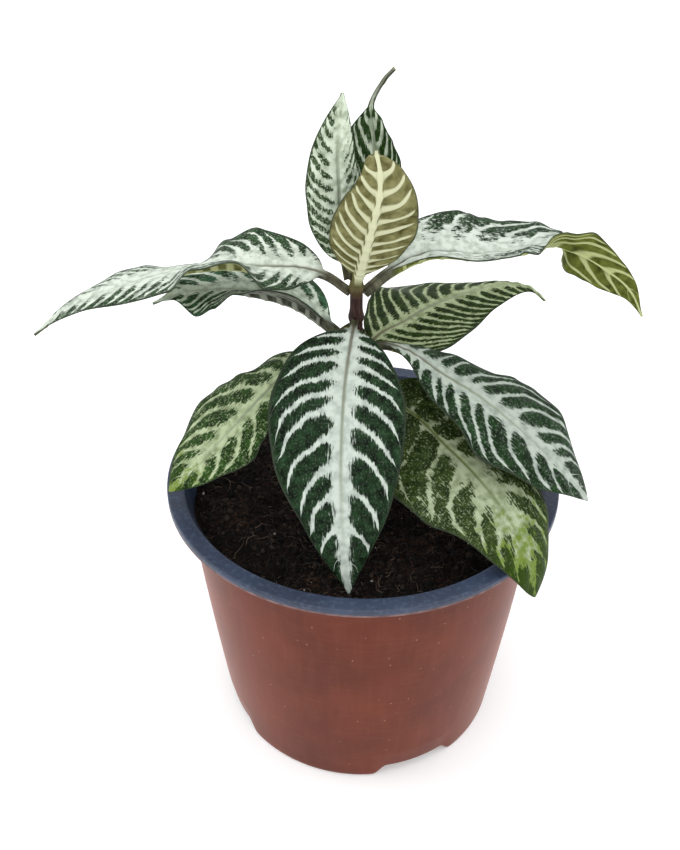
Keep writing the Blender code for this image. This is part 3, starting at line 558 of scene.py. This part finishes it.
LEAVES = {
    "leaf_front": dict(
        spine=[(-2.9, -2.7, 157.8), (-4, -12, 156), (-5.6, -25, 147.5), (-6.2, -36, 133), (-5.8, -44, 117),
               (-4.6, -49.5, 102), (-3.4, -52, 92.6)],
        face=[(0, -0.5, 0.85), (0, -0.7, 0.7), (0, -0.9, 0.4)], stalk=4, half_width=20, base=0.72, tip=1.05,
        fold=([5, 5, 0, 0, 0], [10, 10, 8, 5, 0]),
        wide=([0.98, 0.95, 0.92, 0.97, 0.95], [1.3, 1.12, 1.03, 0.88, 0.75]),
        veins=([0.03, 0.07, 0.111, 0.157, 0.214, 0.28, 0.361, 0.455, 0.588, 0.722],
               [0.05, 0.097, 0.141, 0.201, 0.256, 0.311, 0.408, 0.507, 0.602, 0.722]),
        vein=0.88, band=[1.6, 3.3, 3, 2.3, 1.3], reach=0.92, fleck=0.12, green=("050f04", "203820"),
        white=("9fa99f", "bdc6bc")),
    "leaf_rear": dict(
        spine=[(-2.7, 3.1, 157.4), (-2.9, 6.6, 156), (-3.5, 9.5, 149), (-5, 13, 139), (-6, 21, 126),
               (-7, 34, 112.5), (-7, 47, 104.5), (-6, 55, 101.5)],
        face=[(0, 0.9, 0.4), (0, 0.7, 0.7), (0, 0.4, 0.9)], stalk=10, half_width=13, base=0.75, tip=1.1,
        fold=([10, 8, 5, 0, 0], [10, 8, 5, 0, 0]), wide=([0.8, 1, 1], [0.8, 1, 1])),
    "leaf_right_high": dict(
        spine=[(0.2, 0.5, 166.8), (7.5, 5, 171), (19, 8, 175), (34.2, 10, 173.6), (45.5, 11, 174.6),
               (52.4, 9.8, 177.5), (55.8, 8.5, 178.7), (59.5, 6.5, 178), (69.5, 4, 173), (78, 3, 166.5),
               (83, 2, 158)],
        face=[(0, -0.2, 1), (0, -0.25, 1), *[(0, -0.3, 1)] * 3, (0, -0.25, 1), (0, -0.2, 1), (0, -0.15, 1),
              (0, -0.1, 1), (0, 0.1, 1), (0.2, 0.65, 0.75), (0.38, 0.88, 0.35), *[(0.4, 0.9, 0.3)] * 5],
        stalk=9, half_width=19, base=0.75, tip=1.1,
        fold=([20, 18, 15, 12, 10, 8, 5, 0, 0, 4, -10, -25, -22, -20, -18, -16, -15],
              [35, 36, 37, 37, 38, 37, 36, 35, 32, 5, 12, 24, 30, 34, 35, 38, 40]),
        curl=-10,
        wide=([*[1] * 8, 0.9, 0.7, 0.5, 0.5, 0.58, 0.66, 0.68, 0.6, 0.6],
              [*[0.55] * 3, 0.6, 0.65, 0.72, 0.8, 0.8, 0.8, 0.6, 0.52, 0.55, 0.52, 0.48, 0.44, 0.4, 0.4]),
        wave=0.5, arch=([0.2, 0.5, 1.2, 3, 3.5], [0.5, 2, 3.5, 3.5, 3]), count=9, vein=1.0,
        band=[5, 8, 5, 3, 1.8], reach=0.97, patchy=1.8,
        paleness_and_shade=([0.1, 0.1, 0.1, 0, 0], [0.1, 0, -0.3, -0.1, 0]), fleck=0.6, green=("10200e", "2a4226"),
        white=("a0aa9c", "cad2c7"), under=("353c0f", "6c7333", "aeb480"), petiole=("35342a", "74735e")),
    "leaf_left_high": dict(
        spine=[(-5.6, 0.3, 166.8), (-12, 4, 169.5), (-19.6, 5, 171), (-30.6, 3, 172.3), (-42.3, 1, 174),
               (-56, -1, 172.5), (-75, -5, 168), (-88, -7, 162.5), (-98.5, -9, 155)],
        face=[(0, -0.3, 1), (0, -0.2, 1), *[(0, 0, 1)] * 3], stalk=9, half_width=19, base=0.7, tip=1.15,
        fold=([5, 15, 19, 42, 33, 13, 10, 5, 5, 5, 5], [10, 12, 12, -8, -24, -17, -8, *[-2] * 4]), curl=-10,
        wide=([*[1] * 6, 0.9, 0.8, 0.75, 0.75, 0.8], [1]), wave=0.3,
        arch=([0.4, 0.6, 0.9, 1, 1], [0.2, 0.5, 0.9, 1.2, 1.2]), count=16, vein=0.9,
        band=[6, 8, 6, 2.5, 1.5], feather=2, patchy=1.6,
        paleness_and_shade=([0, -0.2, 0.15, 0.05, 0.1], [-0.2, -0.2, 0.15, 0.22, 0.25]), reach=0.93, fleck=0.6,
        green=("142411", "2f4a2b"), white=("9ea89a", "ced6c9"), petiole=("2e2d24", "65634f")),
    "leaf_left_middle": dict(
        spine=[(-5.6, 0.6, 149.5), (-12.3, 5, 153), (-21.7, 9, 157), (-35.8, 12, 159), (-48, 12, 159.5),
               (-58, 9, 159.5), (-65.4, 6, 157.7)],
        face=[(0, -0.1, 1), (0, -0.2, 1), (0, -0.3, 1)], stalk=7, half_width=17, base=0.9, tip=0.9,
        fold=([55, 55, 50, 40, 20, 0, 0], [20, 10, 10, 0, 0]), curl=-10,
        wide=([*[1] * 6, 0.8, 0.9, 0.97, 0.25, 0.1], [*[1] * 8, 0.8, 0.25, 0.1]), wave=0.2,
        arch=([1.5, 2, 2.2, 2.2, 2.2], [0.3, 0.8, 1.2, 1.5, 1.5]), count=9, vein=0.7,
        band=[3, 5, 4, 2, 1.5], patchy=0.8, paleness_and_shade=([-0.1, 0, 0.05, 0, -0.1], [-0.2, 0.1, 0.15, 0.15, 0.1]),
        green=("1a2e14", "3d6446"), white=("a5b1a2", "d6e1d2"), under=("1f2117", "53564a", "8b8f81")),
    "leaf_right_middle": dict(
        spine=[(-0.2, -0.8, 148.6), (7, -4.5, 151), (15, -8, 149.5), (22, -11, 145.7), (35, -15, 139),
               (50, -19, 127.5), (62, -21.5, 116), (70.5, -22, 105.5)],
        face=[(0.1, -0.2, 1), (0.3, -0.3, 0.9), (0.5, -0.3, 0.8)], stalk=9, half_width=19, base=1.0,
        tip=0.85, fold=([-10, 0, 0, 10, 10], [10, 0, 0, 0, 0]),
        wide=([1, 1, 0.92, 0.82, 0.85, 1, 1.15, 1.12, 1, 1, 1], [0.6, 0.75, 0.9, 0.75, 0.5]),
        veins=([0.053, 0.11, 0.176, 0.237, 0.307, 0.356, 0.432, 0.517, 0.614, 0.704, 0.778],
               [0.06, 0.101, 0.145, 0.204, 0.243, 0.295, 0.356, 0.42, 0.517, 0.634, 0.741]),
        band=[1.6, 2.6, 3, 2.2, 1.4], vein=0.85, reach=0.96, patchy=0.6, fleck=0.35,
        green=("0a1a08", "213a1e"), white=("8f998f", "adb6ab")),
    "leaf_right_rear": dict(
        spine=[(-1.3, 2.2, 141.8), (4, 5, 148), (12, 12, 149), (19.5, 20, 149.5), (27, 28, 148.5),
               (37.5, 36, 148), (49.5, 42, 147), (57, 45, 144), (62.8, 46, 138.7)],
        face=[(0, -0.4, 1), (0.1, -0.4, 1), (0.1, -0.5, 0.9)], stalk=5, half_width=15.5, base=0.65, tip=1.5,
        fold=([-5, -5, -18, -25, -20], [0, 0, 5, 5, 0]),
        wide=([1, 1, 1.15, 1.3, 1.35, 1.2, 1, 0.7, 0.5, 0.5, 0.5], [1]), wave=0.5,
        arch=([0.5, 0.8, 1, 1.5, 2], [1, 1.6, 1.8, 1.8, 1.8]), count=13, band=[1, 1.6, 1.8, 1.4, 0.8],
        vein=0.62, reach=0.97, patchy=0.9, green=("111d08", "283a11"), white=("79845f", "a2ad89")),
    "leaf_left_low": dict(
        spine=[(-5.5, -1.1, 141), (-14, -1.5, 141.5), (-24.8, -3, 138), (-32, -6.5, 132), (-44, -14, 121),
               (-53, -20, 114), (-60, -25, 108.5)],
        face=[(-0.3, -0.2, 1), (-0.5, -0.5, 0.8), (-0.5, -0.6, 0.7)], stalk=7, half_width=16.5, base=0.75,
        tip=0.85, fold=([0], [0]),
        wide=([0.7, 0.7, 0.65, 0.6, 0.55, 0.72, 0.82, 0.82, 0.78, 0.78, 0.8],
              [0.95, 1, 1, 0.86, 1, 1.25, 1.3, 1.3, 1.2, 1.2, 1.15]),
        veins=([], [0.03, 0.07, 0.11, 0.15, 0.23, 0.33, 0.45, 0.58, 0.7, 0.8]), count=8,
        band=[1.2, 2, 2.6, 2.4, 1.5], vein=0.95, feather=2.5, patchy=2,
        paleness_and_shade=([-0.1, 0, 0, -0.05, -0.1], [-0.1, 0, 0, 0, -0.1]), fleck=0.8, green=("12240a", "2d4a1b"),
        white=("84926c", "b2bf9a"), aged=0.88),
    "leaf_right_low": dict(
        spine=[(-0.4, -2.0, 131), (7, -5, 131.5), (16.5, -10, 128), (24, -17, 124), (33, -26, 119.5),
               (41, -35, 114), (47, -42, 106.5), (51, -46.5, 97.5), (52.5, -48.5, 89.5)],
        face=[(0, -0.6, 0.8), (0.2, -0.5, 0.8), (0.6, -0.6, 0.6)], stalk=6, half_width=20, base=0.5,
        tip=0.75, fold=([0], [5, 0, 0, 5, 10]),
        wide=([0.9, 1, 0.95, 1.02, 1.35], [0.9, 1.2, 1.1, 0.9, 0.85]), count=8,
        band=[0.5, 0.9, 3.8, 4.2, 1.2], vein=1.1, feather=2.2, patchy=2,
        # Low paleness near the stalk is painted shade, where the front and right middle leaves overlap this
        # leaf's base.
        paleness_and_shade=([-0.9, -0.5, 0.1, 0, -0.3], [-0.9, -0.5, 0.15, 0, -0.3]), fleck=0.75,
        line=("4c561f", "5c6a35"), green=("18250d", "35441c"), white=("7b8766", "a4ae90"), aged=0.74,
        old=("2a3e0a", "5f7617")),
    "leaf_top_left": dict(
        spine=[(-5.4, -0.8, 171.2), (-7.2, -1.5, 183.5), (-7.6, -3.5, 196.3), (-8, -6, 211),
               (-6.6, -9, 226.8)],
        face=[(-0.3, -0.9, 0.3), (-0.2, -0.9, 0.3), (0, -0.9, 0.4)], stalk=5, half_width=10, base=0.6,
        tip=0.85, fold=([30], [20, 0, -5, 0, 10]), curl=-10, wide=([0.93], [1, 0.9, 0.62, 0.58, 0.6]),
        wave=0.4, arch=([0.3, 0.7, 1, 1.3, 1.5], [0.5, 1, 2, 2.5, 2.5]), count=12,
        band=[0.8, 1.3, 1.6, 1.6, 1.5], vein=0.75, reach=0.97, patchy=1.8,
        paleness_and_shade=([-0.1, 0.05, 0.15, 0.15, 0.25], [-0.1, 0, 0, 0.05, 0.2]), fleck=0.9,
        green=("203017", "46593a"), white=("a3af97", "d2dcc8")),
    "leaf_top_front": dict(
        spine=[(-2.2, -1.6, 171.4), (-0.5, -9.5, 182.4), (1.5, -15, 193.5), (3.2, -18, 203),
               (3.2, -16.5, 209), (2.2, -12, 211.8), (2.4, -7, 210.5)],
        face=[(0, 0.85, 0.5), (0, 0.95, 0.3), (0, 1, 0.1), (0, 0.75, -0.6), (0, -0.2, -1)], stalk=1,
        half_width=12.5, base=0.6, tip=1.1, fold=([20], [20]), curl=-10,
        wide=([1, 1, 1.1, 1.2, 1.1], [0.75, 0.86, 0.92, 0.95, 1]), wave=0.4,
        arch=([0.05, 0.2, 0.4, 0.8, 1.2], [0.4, 0.7, 1, 1.2, 1.4]), count=10, vein=1.15,
        under=("4a4722", "89875c", "c9cba8"), petiole=("4f4e2a", "7d7a48")),
    "leaf_top_rear": dict(
        spine=[(-1.7, 1.5, 171.4), (0, 6.5, 186), (2, 8, 200), (1.3, 7, 212), (0.8, 5, 220), (3.9, 3, 227),
               (6.2, 1, 230.3)],
        face=[(0, -0.9, 0.3), (0, -0.9, 0.3), (0, -0.8, 0.5)], stalk=3, half_width=11.5, base=0.8, tip=1,
        fold=([30], [30]), curl=-10,
        wide=([*[1] * 6, 0.95, 0.8, 0, 0, 0], [*[0.9] * 4, 0.8, 0.7, 0.55, 0.35, 0, 0, 0]), wave=0.4,
        arch=([1, 2, 3, 3.5, 3.5], [1, 2, 3, 3.5, 3.5]), count=8, vein=0.52, band=[1, 1.2, 0.8, 0.5, 0.3],
        reach=0.97, tail=0.8, taper=0.25, green=("142608", "2a461a"), white=("9aa88f", "ccd6c2")),
}
USUAL_LEAF = dict(
    curl=-20, wave=0.8, veins=([], []), arch=([0.1, 0.45, 0.9, 1.5, 1.8], [0.1, 0.45, 0.9, 1.5, 1.8]),
    count=10, vein=0.9, band=[1.5, 3.5, 3.6, 3, 1.6], reach=0.93, feather=2.1, patchy=0.2, paleness_and_shade=([0], [0]),
    fleck=0.2, tail=0.0, taper=1.0, aged=2.0, line=("5a5241", "858c79"), old=("31460f", "667c1e"),
    green=("061306", "1d371d"), white=("9aa498", "b9c2b6"), under=("3b3f1e", "757745", "a6ab7c"),
    petiole=("28271e", "565541"))


def smooth_curve(control, shares):
    """Points and unit tangents at shares of the length of a cubic curve through the control points, and that
    length. Knots are spaced by the square root of the chords, and slopes are weighed between the chords."""
    control = np.asarray(control, float)
    knots = np.concatenate([[0], np.cumsum(np.sqrt(np.linalg.norm(np.diff(control, axis=0), axis=1)))])
    step = np.diff(knots)[:, None]
    slope = np.diff(control, axis=0) / step
    inner = (slope[:-1] * step[1:] + slope[1:] * step[:-1]) / (step[:-1] + step[1:])
    rate = np.concatenate([slope[:1], inner, slope[-1:]])

    def at(knot):
        piece = np.clip(np.searchsorted(knots, knot, side="right") - 1, 0, len(control) - 2)
        span = step[piece]
        u = (knot[:, None] - knots[piece][:, None]) / span
        return (
            (2 * u**3 - 3 * u**2 + 1) * control[piece]
            + (u**3 - 2 * u**2 + u) * span * rate[piece]
            + (3 * u**2 - 2 * u**3) * control[piece + 1]
            + (u**3 - u**2) * span * rate[piece + 1]
        )

    fine = np.linspace(0, knots[-1], 400)
    run = np.concatenate([[0], np.cumsum(np.linalg.norm(np.diff(at(fine), axis=0), axis=1))])
    knot = np.interp(shares * run[-1], run, fine)
    nudge = 0.001 * knots[-1]
    tangent = at(np.clip(knot + nudge, 0, knots[-1])) - at(np.clip(knot - nudge, 0, knots[-1]))
    return at(knot), tangent / np.linalg.norm(tangent, axis=1)[:, None], run[-1]


def along(values, share):
    """Values given at even stations, eased between them, at shares 0 to 1."""
    values = np.asarray(values, float)
    place = unit(share) * (len(values) - 1)
    before = np.clip(place.astype(int), 0, max(0, len(values) - 2))
    after = np.minimum(before + 1, len(values) - 1)
    ease = eased(place - before)
    if values.ndim > 1:
        ease = ease[:, None]
    return values[before] * (1 - ease) + values[after] * ease


def vein_number(roots, place):
    """Which vein passes a place on the midrib: its running number, linear between the roots and beyond."""
    first, last = roots[1] - roots[0], roots[-1] - roots[-2]
    stations = np.concatenate([[roots[0] - VEINS_BEYOND * first], roots, [roots[-1] + VEINS_BEYOND * last]])
    numbers = np.concatenate([[-VEINS_BEYOND], np.arange(len(roots)), [len(roots) - 1 + VEINS_BEYOND]])
    return np.interp(place, stations, numbers)


def half_blade(leaf, side, share, spine, facing, left, half_width, blade):
    """Upper points, normals and depth of one half of a leaf, rows along it and columns out to its margin,
    and the fields of its vein pattern. The section turns by fold plus curl times the share of the width,
    summed outwards. A side vein runs along the leaf by lean times the width plus arch times its cube."""
    half = 0 if side > 0 else 1
    stalk_width = STALK_HALF_WIDTH + (TIP_HALF_WIDTH - STALK_HALF_WIDTH) * share ** leaf["taper"]
    total = np.hypot(half_width * along(leaf["wide"][half], share), stalk_width)[:, None]
    column = np.linspace(0, 1, HALF_COLUMNS)[None] ** COLUMN_CROWDING * np.ones_like(total)
    across = column * total
    fold = along(leaf["fold"][half], share)[:, None]
    angle = np.radians(fold + leaf["curl"] * (column[:, 1:] + column[:, :-1]) / 2)
    out, up = [np.pad(np.cumsum(part * np.diff(across, axis=1), axis=1), ((0, 0), (1, 0)))
               for part in (np.cos(angle), np.sin(angle))]
    ripple = leaf["wave"] * np.sin(2 * np.pi * (MARGIN_WAVES * share + 0.25 * side)) * np.sin(np.pi * share)
    up += ripple[:, None] * column**2
    points = spine[:, None] + side * out[:, :, None] * left[:, None] + up[:, :, None] * facing[:, None]
    tilt = np.radians(fold + leaf["curl"] * column)[:, :, None]
    normals = np.cos(tilt) * facing[:, None] - side * np.sin(tilt) * left[:, None]

    arch = along(leaf["arch"][half], share)[:, None]
    paleness_and_shade = along(leaf["paleness_and_shade"][half], share)[:, None]
    band = across / along(leaf["band"], share)[:, None]
    share = share[:, None]
    roots = blade * np.asarray(leaf["veins"][half] or 0.04 + 0.74 * np.linspace(0, 1, leaf["count"]) ** 1.15)
    root = share * blade - arch * across * (VEIN_LEAN + VEIN_ARCH * column**2)
    number = vein_number(roots, root)
    rate = vein_number(roots, root + 0.5) - vein_number(roots, root - 0.5)
    spread = rate * np.hypot(1, arch * (VEIN_LEAN + 3 * VEIN_ARCH * column**2))
    width = leaf["vein"] * (1 - 0.5 * column + 1.5 * np.exp(-column / 0.18))
    width = width * np.clip((leaf["reach"] - column) / 0.1, 0.02, 1)
    width = width * np.clip(len(roots) - 0.2 - number, 0.08, 1)
    on_blade = unit((share - 0.01) / 0.06) * unit((1 - share) / 0.08)
    quilt = np.sin(np.pi * number) ** 2 * unit(column / 0.12) * (1 - column**4) * on_blade
    groove = np.exp(-((across / GROOVE_HALF_WIDTH) ** 2)) * unit((1 - share) * 1.4)
    points = points + normals * (QUILT_HEIGHT * quilt - GROOVE_DEPTH * groove)[:, :, None]
    rib = np.sqrt(unit(1 - (across / RIB_HALF_WIDTH / (1 - 0.6 * share)) ** 2))
    rib_depth = RIB_DEPTH_AT_STALK + (RIB_DEPTH_AT_TIP - RIB_DEPTH_AT_STALK) * share
    sheet = SHEET_THICKNESS * (1 - 0.55 * column**6)
    from_vein = np.abs((number + 0.5) % 1 - 0.5) / spread
    raised = RAISED_VEIN * np.exp(-((from_vein / RAISED_VEIN_HALF_WIDTH) ** 2)) * on_blade * (1 - column**3)
    depth = sheet + np.maximum(0, rib_depth - sheet) * rib + raised
    line = 0.8 * unit((0.65 - across) / 0.35) * unit((0.85 - share) / 0.4)
    fields = (number, 1 / (spread * width), band, column, share, side * across, paleness_and_shade, line)
    return points, normals, depth, np.stack(np.broadcast_arrays(*fields), axis=2)


def leaf_rings(leaf):
    """Rows of points round a leaf, from the stem to the tip, and four sets of three fields of its pattern.
    A row runs over the upper side from the left margin to the right, and back under it."""
    rows = np.linspace(0, 1, LEAF_ROWS)
    spine, tangent, length = smooth_curve(leaf["spine"], rows)
    stalk = leaf["stalk"] / length
    share = unit((rows - stalk) / (1 - stalk))
    facing = along(leaf["face"], share)
    facing -= np.sum(facing * tangent, axis=1)[:, None] * tangent
    facing /= np.linalg.norm(facing, axis=1)[:, None]
    left = np.cross(facing, tangent)
    widest = leaf["base"] / (leaf["base"] + leaf["tip"])
    peak = widest ** leaf["base"] * (1 - widest) ** leaf["tip"]
    half_width = leaf["half_width"] * share ** leaf["base"] * (1 - share) ** leaf["tip"] / peak
    blade = length - leaf["stalk"]
    halves = [half_blade(leaf, side, share, spine, facing, left, half_width, blade) for side in (1, -1)]
    upper, normals, depth, fields = [
        np.concatenate([one[:, ::-1], other[:, 1:]], axis=1) for one, other in zip(*halves)]
    lower = upper - normals * depth[:, :, None]
    rings = np.concatenate([upper, lower[:, ::-1]], axis=1)
    rings[0] -= STALK_SINK * tangent[0]

    run = (rows * length)[:, None]
    on_stalk = unit(1 - (run - leaf["stalk"] + 2) / 5)
    tail = leaf["tail"] * unit((share[:, None] - 0.78) / 0.1)
    under = np.concatenate([np.zeros_like(depth), np.ones_like(depth)], axis=1)
    both = np.concatenate([fields, fields[:, ::-1]], axis=1)
    number, sharpness, band, column, reached, across, paleness_and_shade, line = np.moveaxis(both, 2, 0)
    sets = (number, sharpness, band), (column, reached, on_stalk), (run, across, under), (paleness_and_shade, line, tail)
    return rings, [np.stack(np.broadcast_arrays(*three), axis=2) for three in sets]


def leaf_skin(name, leaf, seed):
    """The waxy skin of one leaf. White is where the bell curves of vein and midrib band, a noise drawn out
    square to the veins, a patch noise and the leaf's paleness add up to more than a limit. The low paleness
    near the right low leaf's stalk is painted shade."""
    made, tree, shader = new_material(name, Roughness=0.42, IOR=1.45, Specular_IOR_Level=0.07)
    stored = [add(tree, "Attribute", attribute_name=key).node.outputs["Vector"] for key in FIELDS]
    (number, sharpness, band), (column, share, on_stalk), (run, across, under), (paleness_and_shade, line, tail) = [
        add(tree, "SeparateXYZ", {0: three}).node.outputs for three in stored]
    spot = add(tree, "CombineXYZ", {0: run, 1: across, 2: 17.0 * seed})

    wander = add(tree, "TexNoise", {"Vector": spot, "Scale": 1 / 7.0, "Detail": 1.0})
    bent = add(tree, "Math", {0: wander, 1: 0.4, 2: number}, operation="MULTIPLY_ADD")
    centred = add(tree, "Math", {0: bent, 1: -0.2}, operation="ADD")
    apart = add(tree, "Math", {0: centred, 1: 0.5}, operation="PINGPONG")
    ratio = add(tree, "Math", {0: apart, 1: sharpness}, operation="MULTIPLY")
    bells = []
    for distance, power in ((ratio, 1.5), (band, 2.0)):
        raised = add(tree, "Math", {0: distance, 1: power}, operation="POWER")
        faded = add(tree, "Math", {0: raised, 1: -1.0}, operation="MULTIPLY")
        bells.append(add(tree, "Math", {0: faded}, operation="EXPONENT"))
    whiteness = add(tree, "Math", {0: bells[0], 1: bells[1]}, operation="ADD")

    beside_vein = add(tree, "Math", {0: number, 1: 3.0}, operation="MULTIPLY")
    along_vein = add(tree, "Math", {0: across, 1: 2.0}, operation="MULTIPLY")
    brush = add(tree, "CombineXYZ", {0: beside_vein, 1: along_vein, 2: 9.0 * seed})
    feather = add(tree, "TexNoise", {"Vector": brush, "Scale": 1.0, "Detail": 3.0, "Roughness": 0.65})
    patches = add(tree, "TexNoise", {"Vector": spot, "Scale": 1 / 2.4, "Detail": 3.0, "Roughness": 0.6})
    for texture, weight in ((feather, leaf["feather"]), (patches, leaf["patchy"])):
        whiteness = add(tree, "Math", {0: texture, 1: weight, 2: whiteness}, operation="MULTIPLY_ADD")
    # Paleness along the leaf. On the right low leaf, its low values near the stalk are painted shade.
    whiteness = add(tree, "Math", {0: whiteness, 1: paleness_and_shade}, operation="ADD")
    limit = 0.5 + 0.5 * (leaf["feather"] + leaf["patchy"])
    white_part = add(tree, "MapRange", {0: whiteness, 1: limit - 0.2, 2: limit + 0.17},
                     interpolation_type="SMOOTHSTEP")

    # Underneath, narrow veins and a midrib that narrows towards the tip.
    fine_vein = add(tree, "MapRange", {0: ratio, 1: 0.75, 2: 0.3, 4: 0.9}, interpolation_type="SMOOTHSTEP")
    narrowing = add(tree, "MapRange", {0: share, 2: 0.55, 3: 0.65, 4: 0.18})
    width = add(tree, "Math", {0: across}, operation="ABSOLUTE")
    rib = add(tree, "Math", {0: width, 1: narrowing}, operation="DIVIDE")
    fine_band = add(tree, "MapRange", {0: rib, 1: 1.0, 2: 0.65, 4: 0.95}, interpolation_type="SMOOTHSTEP")
    fine = add(tree, "Math", {0: fine_vein, 1: fine_band}, operation="MAXIMUM")

    # Tones, laid over each other from the green up. Each follows the same mottling.
    mottle = add(tree, "TexNoise", {"Vector": spot, "Scale": 1 / 2.6, "Detail": 4.0})
    tone, white, dull, stalk_tone = [
        add(tree, "ValToRGB", {0: mottle}, list(zip(places, leaf[key])))
        for key, places in (("green", (0.34, 0.66)), ("white", (0.34, 0.58)), ("under", (0.3, 0.72)),
                            ("petiole", (0.3, 0.7)))]
    fleck = add(tree, "TexNoise", {"Vector": spot, "Scale": 1 / 0.6, "Detail": 2.0})
    fleck_part = add(tree, "MapRange", {0: fleck, 1: 0.54, 2: 0.7, 4: leaf["fleck"]})
    aged = add(tree, "Math", {0: patches, 1: 0.9, 2: share}, operation="MULTIPLY_ADD")
    aged_part = add(tree, "MapRange", {0: aged, 1: leaf["aged"] + 0.38, 2: leaf["aged"] + 0.56, 4: 0.85})
    aged_tone = add(tree, "Mix", {0: white_part, 6: leaf["old"][0], 7: leaf["old"][1]}, data_type="RGBA")
    line_tone = add(tree, "ValToRGB", {0: share}, list(zip((0.05, 0.4), leaf["line"])))
    underside = add(tree, "Mix", {0: fine, 6: dull, 7: leaf["under"][2]}, data_type="RGBA")
    rim_part = add(tree, "MapRange", {0: column, 1: 0.95, 2: 0.98, 4: 0.75})
    for part, over in ((fleck_part, leaf["white"][0]), (white_part, white), (aged_part, aged_tone),
                       (line, line_tone), (tail, "5e5c4c"), (under, underside), (rim_part, "343b2f"),
                       (on_stalk, stalk_tone)):
        tone = add(tree, "Mix", {0: part, 6: tone, 7: over}, data_type="RGBA")

    cells = add(tree, "TexVoronoi", {"Vector": spot, "Scale": 1 / 0.9}, feature="SMOOTH_F1")
    pores = add(tree, "Math", {0: mottle, 1: 0.6, 2: cells}, operation="MULTIPLY_ADD")
    bump = add(tree, "Bump", {"Height": pores, "Strength": 0.5, "Distance": 0.12 * MM})
    feed(shader, {"Base Color": tone, "Normal": bump})
    return made


for seed, (name, given) in enumerate(LEAVES.items()):
    leaf = {**USUAL_LEAF, **given}
    rings, field_sets = leaf_rings(leaf)
    points, faces = closed_rings(rings)
    blade = link_mesh(name + "_blade", points, faces, [leaf_skin(name + "_skin", leaf, seed)])
    for key, field in zip(FIELDS, field_sets):
        values = np.concatenate([field.reshape(-1, 3), field[0].mean(0)[None], field[-1].mean(0)[None]])
        kept = blade.data.attributes.new(key, "FLOAT_VECTOR", "POINT")
        kept.data.foreach_set("vector", values.astype(np.float32).ravel())
    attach(blade, "root")
    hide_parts(name)

# Floor and light
# A plain pale floor, a white sky, and soft boxes at both sides and overhead.
FLOOR_HALF = 4000
LIGHT_AIM = np.array([0.0, 0.0, 0.12])
LIGHTS = {
    "overhead": dict(place=(0.0, 0.0, 3.0), size=5.0, power=76.0),
    "front": dict(place=(0.2, -2.6, 1.7), size=2.4, power=31.0),
    "left_box": dict(place=(-0.9, 0.1, 0.55), size=0.6, power=2.6),
    "right_box": dict(place=(0.95, 0.15, 0.5), size=0.6, power=1.4),
}

floor_points = FLOOR_HALF * np.array([(-1, -1, 0), (1, -1, 0), (1, 1, 0), (-1, 1, 0)])
floor_paint = new_material("pale_floor", Roughness=0.9, Base_Color="fafafa", Emission_Color="ffffff",
                           Emission_Strength=0.12)[0]
link_mesh("floor", floor_points, [np.array([(0, 1, 2, 3)])], [floor_paint])
world = bpy.data.worlds.new("white_sky")
world.use_nodes = True
feed(world.node_tree.nodes["Background"], {"Color": "f8fafc", "Strength": 0.7})
bpy.context.scene.world = world
for name, lamp in LIGHTS.items():
    data = bpy.data.lights.new(name, "AREA")
    data.size = lamp["size"]
    data.energy = lamp["power"]
    light = bpy.data.objects.new(name, data)
    light.location = lamp["place"]
    away = lamp["place"] - LIGHT_AIM
    light.rotation_euler = (math.acos(away[2] / np.linalg.norm(away)), 0.0, math.atan2(away[0], -away[1]))
    bpy.context.scene.collection.objects.link(light)
